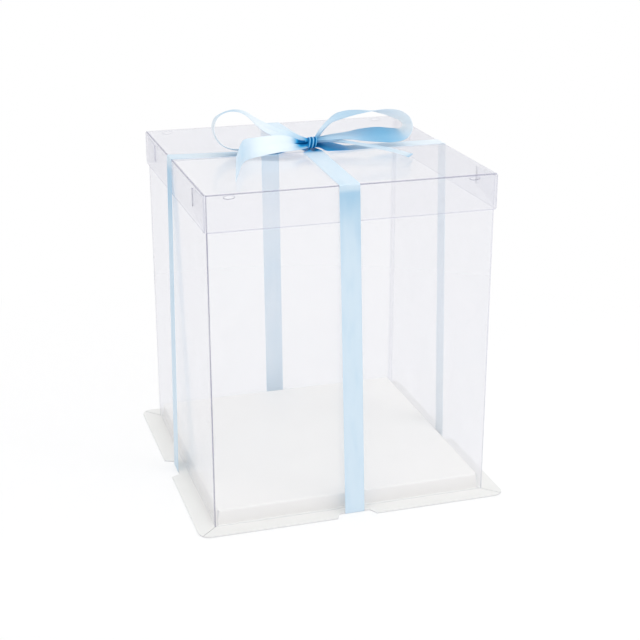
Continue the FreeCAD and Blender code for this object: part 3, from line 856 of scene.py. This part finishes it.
def leg_profile():
    """Leg from the platform's edge to the foot's root, as distance out, height and share of the way down."""
    r = CARD_FOLD
    upper = quarter(Vector((0, BASE_INNER, BASE_LEVEL - r)), UP * r, Vector((0, r, 0)))
    lower = quarter(Vector((0, BASE_ROOT, BASE_LOW + r)), Vector((0, -r, 0)), -UP * r)
    profile = [(point.y, point.z, 0) for point in upper]
    profile += [(BASE_HALF, z, (BASE_LEVEL - z) / (BASE_LEVEL - BASE_LOW)) for z in LEG_HEIGHTS]
    return profile + [(point.y, point.z, 1) for point in lower]


def add_base_side(bm, turn, outline, roots, tops):
    """One leg and its foot; turn counts quarter turns from the front."""
    out = Vector((math.sin(turn * math.pi / 2), -math.cos(turn * math.pi / 2), 0))
    along = Vector((-out.y, out.x, 0))

    def at(x, y, z):
        return along * x + out * y + UP * z

    rows = []
    for y, z, share in leg_profile():
        row = []
        for top, root in zip(tops, roots):
            row.append(at(top + (root - top) * share, y, z + card_relief(root) * share))
        rows.append(row)
    foot_from = len(rows) - 1
    for share in FOOT_ROWS:
        row = []
        for (x, y), root in zip(outline, roots):
            lift = FOOT_LIFT * share ** 2 * (abs(x) / FOOT_OUT) ** FOOT_LIFT_POWER
            level = BASE_LOW + card_relief(x) + lift
            row.append(at(root + (x - root) * share, BASE_ROOT + (y - BASE_ROOT) * share, level))
        rows.append(row)
    # The feet take the darker card, painted shade
    add_grid(bm, rows, material=lambda i, j: FOOT if i >= foot_from else PANEL)


def build_base(cards):
    """One card sheet: platform, four legs folded down, four feet folded outward, mitred and notched."""
    outline, roots, tops = base_columns()
    bm = bmesh.new()
    add_grid(bm, [[Vector((x, y, platform_level(x, y))) for x in tops] for y in tops])
    sides = ("front", "right", "back", "left")
    for turn in range(len(sides)):
        add_base_side(bm, turn, outline, roots, tops)
    nodes = ["base_platform"] + [f"base_{side}_{part}" for side in sides for part in ("leg", "foot")]
    return make_piece("base_card", bm, cards, CARD, "base", nodes)


# Ribbon

def spline(rows, per_span=8):
    """Centripetal Catmull-Rom curve through the rows, all columns alike."""
    p = np.asarray(rows, float)
    p = np.vstack([2 * p[0] - p[1], p, 2 * p[-1] - p[-2]])
    chords = np.linalg.norm(np.diff(p[:, :3], axis=0), axis=1)
    t = np.concatenate([[0], np.cumsum(np.sqrt(chords))])

    def between(i, j, a, b, u):
        return (t[j] - u) / (t[j] - t[i]) * a + (u - t[i]) / (t[j] - t[i]) * b

    samples = []
    for i in range(1, len(p) - 2):
        u = np.linspace(t[i], t[i + 1], per_span, endpoint=False)[:, None]
        a = between(i - 1, i, p[i - 1], p[i], u)
        b = between(i, i + 1, p[i], p[i + 1], u)
        c = between(i + 1, i + 2, p[i + 1], p[i + 2], u)
        samples.append(between(i, i + 1, between(i - 1, i + 1, a, b, u), between(i, i + 2, b, c, u), u))
    return np.vstack(samples + [p[-2:-1]])


def bow_path(rows):
    """Rows of the bow in metres: points, rolls in radians, shares of the width, and the shade or highlight
    painted there.
    """
    samples = spline(rows)
    points = samples[:, :3] * MM
    points[:, 2] += LID_TOP
    return points, np.radians(samples[:, 3]), samples[:, 4], samples[:, 5]


def add_run(points, end):
    """Goes on straight from the last point to the end."""
    start = points[-1]
    count = max(1, round((end - start).length / PATH_STEP))
    for n in range(1, count + 1):
        points.append(start.lerp(end, n / count))


def rounded_path(corners, radii):
    """Points along straight runs joined by arcs of the given radii."""
    corners = [Vector(c) for c in corners]
    points = [corners[0]]
    for k in range(1, len(corners) - 1):
        before = (corners[k - 1] - corners[k]).normalized()
        after = (corners[k + 1] - corners[k]).normalized()
        opening = before.angle(after)
        radius = radii[k - 1]
        reach = radius / math.tan(opening / 2)
        start, end = corners[k] + before * reach, corners[k] + after * reach
        add_run(points, start)
        centre = corners[k] + (before + after).normalized() * (radius / math.sin(opening / 2))
        turn = math.pi - opening
        count = max(2, round(turn / ARC_STEP))
        one, other = start - centre, end - centre
        for n in range(1, count + 1):
            angle = turn * n / count
            share = math.sin(turn - angle) / math.sin(turn), math.sin(angle) / math.sin(turn)
            points.append(centre + one * share[0] + other * share[1])
    add_run(points, corners[-1])
    return np.array(points)


def strip_layers(bm):
    """Layers that the satin reads: the flat ribbon's coordinates, and the shade or highlight painted on it.
    """
    return bm.loops.layers.uv.new("strip"), bm.verts.layers.float.new("depth")


def strip_directions(points, rolls, across):
    """Directions along a ribbon, over its width and out of its face, at each of its points."""
    tangent = np.gradient(points, axis=0)
    tangent /= np.linalg.norm(tangent, axis=1)[:, None]
    level = np.asarray(across, float)
    level = level - (tangent @ level)[:, None] * tangent
    level /= np.linalg.norm(level, axis=1)[:, None]
    upright = np.cross(tangent, level)
    width = np.cos(rolls)[:, None] * level + np.sin(rolls)[:, None] * upright
    return tangent, width, np.cross(tangent, width)


def make_strip(points, rolls, shares, painted_shading, across, cut=0.0, lit_edge_share=0.0):
    """Mesh and length of a ribbon along points; rolls turn it about its line, shares gather it into pleats.

    Shade and highlight are painted along it from the values given per point. across is the direction that
    the ribbon's width follows at no roll. cut slants its far end. The lit-edge share keeps one edge free of
    painted shade, as if that edge were lit.
    """
    tangent, width, normal = strip_directions(points, rolls, across)
    travelled = np.concatenate([[0], np.cumsum(np.linalg.norm(np.diff(points, axis=0), axis=1))])
    length = float(travelled[-1])
    bm = bmesh.new()
    uv, painted_light_layer = strip_layers(bm)
    half = RIBBON_WIDTH / 2
    places = np.linspace(-1, 1, RIBBON_COLUMNS)
    rows = []
    for k, point in enumerate(points):
        share = min(shares[k], 1)
        pleat = RIBBON_WIDTH / PLEATS * math.sqrt(1 - share ** 2) / 2 * PLEAT_TIGHT
        near_end = clamp(1 - (length - travelled[k]) / CUT_REACH)
        row = []
        for c in places:
            fold = pleat * math.cos(PLEATS * math.pi * (c + 1) / 2)
            offset = width[k] * (c * half * share) + normal[k] * fold
            row.append(Vector(point + offset + tangent[k] * (cut * c * half * near_end)))
        rows.append(row)
    flat = {}
    for k, row in enumerate(add_grid(bm, rows)):
        for c, vert in zip(places, row):
            flat[vert] = (c * half, travelled[k])
            # Painted shade per vertex, lifted on one edge as if that edge were lit
            kept = 1 - lit_edge_share * clamp(LIT_EDGE_OFFSET - LIT_EDGE_SLOPE * c) if painted_shading[k] > 0 else 1
            vert[painted_light_layer] = float(clamp(painted_shading[k] * kept, -1, 1))
    for face in bm.faces:
        for corner in face.loops:
            corner[uv].uv = flat[corner.vert]
    return bm, length


def ribbon_piece(name, bm, satin, body, nodes):
    """Piece of ribbon."""
    piece = make_piece(name, bm, [satin], RIBBON, body, nodes)


def band_corners(band):
    """Corners of a band's path: up from one notch, over the lid and down to the notch across from it."""

    def at(along, sideways, z):
        return (sideways, along, z) if band.axis else (along, sideways, z)

    return [
        at(-NOTCH_OUT, 0, DROP_END),
        at(-BAND_OUT, band.near_shift, ON_LID),
        at(-band.rise_foot, band.near_shift * RISE_SHIFT, band.middle),
        at(0, 0, band.middle + band.rise),
        at(band.rise_foot, band.far_shift * RISE_SHIFT, band.middle),
        at(BAND_OUT, band.far_shift, ON_LID),
        at(NOTCH_OUT, 0, DROP_END),
    ]


def build_band(band, satin):
    """One long band: up one side, across the lid, gathered at the knot, and down the other side."""
    points = rounded_path(band_corners(band), BAND_BENDS)
    along = points[:, band.axis]
    on_top = points[:, 2] > LID_TOP
    gather = np.where(along < 0, band.near_gather, band.far_gather)
    near = np.clip(1 - np.abs(along) / gather, 0, 1) * on_top
    shares = 1 - (1 - WAIST) * ease(near)
    place = np.where(on_top, along, np.sign(along) * (BAND_OUT + LID_TOP - points[:, 2]))
    # Painted shade and highlight, read from the band's table by the distance along it
    painted_shading = np.interp(place / MM, *zip(*band.painted_light))
    growing = np.clip((along - TWIST_FROM) / TWIST_GROWS, 0, 1)
    fading = np.clip((TWIST_UNTIL - along) / TWIST_FADES, 0, 1)
    rolls = growing * fading * band.twist * on_top
    bm, length = make_strip(points, rolls, shares, painted_shading, ACROSS[band.axis])
    ribbon_piece(band.name, bm, satin, "ribbon", band.nodes)


def build_under_strips(satin):
    """The two strips under the base, the long one over the other where they cross."""
    table = RIBBON / 2
    for name, axis, rise in (("under_cross", 0, 0), ("under_long", 1, RIBBON + RIBBON_AIR)):
        places = [(-NOTCH_OUT, DROP_END), (-NOTCH_OUT, table)]
        if rise:
            places += [(-UNDER_LAND - UNDER_RAMP, table), (-UNDER_LAND, table + rise)]
        half = [(0, along, z) if axis else (along, 0, z) for along, z in places]
        corners = half + [(-x, -y, z) for x, y, z in reversed(half)]
        radii = [NOTCH_BEND] + [UNDER_BEND] * (len(corners) - 4) + [NOTCH_BEND]
        points = rounded_path(corners, radii)
        plain = np.zeros(len(points))
        bm, length = make_strip(points, plain, plain + 1, plain, ACROSS[axis])
        ribbon_piece(f"ribbon_{name}_strip", bm, satin, "base", [f"ribbon_{name}"])


def build_bow(satin):
    """The bow's two loops and two tails."""
    for name, rows, across, cut, lit_edge_share, held in BOW_BANDS:
        bm, length = make_strip(*bow_path(rows), across, cut, lit_edge_share)
        ribbon_piece(f"bow_{name}_band", bm, satin, "ribbon", [f"bow_{name}"])


def knot_point(turn, u):
    """Point of the knot at an angle round it and u across it, -1 to 1, and the shade painted there, darkest
    in the grooves.
    """
    drift = KNOT_DRIFT * math.sin(turn + KNOT_DRIFT_FROM)
    local = ((u + drift * (1 - u * u) + 1) * PLEATS / 2) % 1 * 2 - 1
    ridge = math.sqrt(max(1 - local ** 2, 0))
    inset = KNOT_GROOVE * (ridge - 1) - KNOT_TUCK * abs(u) ** KNOT_TUCK_POWER
    c, s = math.cos(turn), math.sin(turn)
    x = KNOT_HALF.x * u + KNOT_SLANT * s
    y = (KNOT_HALF.y + inset) * math.copysign(abs(c) ** KNOT_SQUARE, c)
    z = (KNOT_HALF.z + inset) * math.copysign(abs(s) ** KNOT_SQUARE, s)
    # Painted shade: light on the ridges, dark in the grooves between the pleats
    depth = min(1, RIDGE_PAINTED_SHADE + GROOVE_PAINTED_SHADE * abs(local) ** GROOVE_SHADE_POWER + KNOT_END_PAINTED_SHADE * abs(u))
    return KNOT_AT + Vector((0, 0, LID_TOP)) + Vector((x, y, z)), depth


def build_knot(satin):
    """Knot: one turn of the ribbon about the others, drawn into pleats."""
    bm = bmesh.new()
    uv, painted_light_layer = strip_layers(bm)
    verts = []
    for k in range(KNOT_ROWS):
        row = []
        for u in np.linspace(-1, 1, KNOT_COLUMNS):
            point, depth = knot_point(2 * math.pi * k / KNOT_ROWS, u)
            row.append(bm.verts.new(point))
            row[-1][painted_light_layer] = depth
        verts.append(row)
    length = 2 * math.pi * (KNOT_HALF.y + KNOT_HALF.z) / 2
    spans = KNOT_COLUMNS - 1
    for k in range(KNOT_ROWS):
        for j in range(spans):
            places = ((k, j), (k, j + 1), (k + 1, j + 1), (k + 1, j))
            face = bm.faces.new([verts[row % KNOT_ROWS][column] for row, column in places])
            for corner, (row, column) in zip(face.loops, places):
                corner[uv].uv = ((column / spans - 0.5) * RIBBON_WIDTH, length * row / KNOT_ROWS)
    ribbon_piece("bow_knot_wrap", bm, satin, "ribbon", ["bow_knot"])


# Stage

def aim_object(made, at, aim):
    """Stands a camera or lamp at one place and turns it to another."""
    made.location = at
    made.rotation_euler = (Vector(aim) - Vector(at)).to_track_quat("-Z", "Y").to_euler()


def make_camera():
    """Camera that stands where the photograph was taken from."""
    data = bpy.data.cameras.new("camera")
    data.lens = CAMERA_LENS
    data.sensor_width = CAMERA_SENSOR
    scene.camera = add_object("camera", data)
    aim_object(scene.camera, CAMERA_AT, CAMERA_AIM)


def make_lamp(name, at, aim, power):
    """Round soft lamp."""
    data = bpy.data.lights.new(name, "AREA")
    data.shape = "DISK"
    data.size = LAMP_SIZE
    data.energy = power
    aim_object(add_object(name, data), at, aim)


def seen_directly(tree, path):
    """1 for what the eye sees straight on or through a clear piece."""
    return math_node(tree, "MAXIMUM", path["Is Camera Ray"], path["Is Transmission Ray"])


def make_world():
    """White studio: plain white to the eye, halfway to that in reflections, softer as a light."""
    world = bpy.data.worlds.new("studio")
    scene.world = world
    world.use_nodes = True
    tree = world.node_tree
    tree.nodes.clear()
    output = tree.nodes.new("ShaderNodeOutputWorld")
    path = node(tree, "LightPath").outputs
    reflected = math_node(tree, "MULTIPLY", path["Is Glossy Ray"], 0.5)
    seen = math_node(tree, "MAXIMUM", seen_directly(tree, path), reflected)
    light = node(tree, "Background", {"Color": WHITE, "Strength": WORLD_LIGHT})
    white = node(tree, "Background", {"Color": WHITE, "Strength": 1.0})
    mix = mix_shaders(tree, seen, light, white)
    tree.links.new(mix.outputs[0], output.inputs["Surface"])


def make_floor():
    """White floor that keeps a faint shadow of the box and fades to plain white."""
    material, tree, output = new_material("floor_white")
    path = node(tree, "LightPath").outputs
    place = node(tree, "TexCoord").outputs["Object"]
    distance = node(tree, "VectorMath", {0: place}, operation="LENGTH").outputs["Value"]
    fade = map_range(tree, distance, FLOOR_FADE, FLOOR_PLAIN)
    plain = math_node(tree, "MULTIPLY", fade, seen_directly(tree, path))
    lit = node(tree, "BsdfDiffuse", {"Color": FLOOR_COLOUR})
    white = node(tree, "Emission", {"Color": WHITE, "Strength": 1.0})
    mix = mix_shaders(tree, plain, lit, white)
    tree.links.new(mix.outputs[0], output.inputs["Surface"])
    corners = [(x * FLOOR_HALF, y * FLOOR_HALF, -FLOOR_GAP) for x, y in ((-1, -1), (1, -1), (1, 1), (-1, 1))]
    mesh = bpy.data.meshes.new("floor")
    mesh.from_pydata(corners, [], [(0, 1, 2, 3)])
    mesh.materials.append(material)
    floor = add_object("floor", mesh)


make_camera()
films = [film_material(*look) for look in FILM_LOOKS]
cards = [card_material(*look) for look in CARD_LOOKS]
satin = satin_material("blue_satin")

base = build_base(cards)
build_sleeve(films)
lid = build_lid(films)
for end_name in ("front", "back"):
    for side_name in ("left", "right"):
        build_tab(films, end_name, side_name)
build_band(LONG_BAND, satin)
build_band(CROSS_BAND, satin)
build_under_strips(satin)
build_bow(satin)
build_knot(satin)

make_world()
for lamp in LAMPS:
    make_lamp(*lamp)
make_floor()
scene.view_settings.view_transform = "Standard"
scene.cycles.transparent_max_bounces = FILM_LAYERS_SEEN
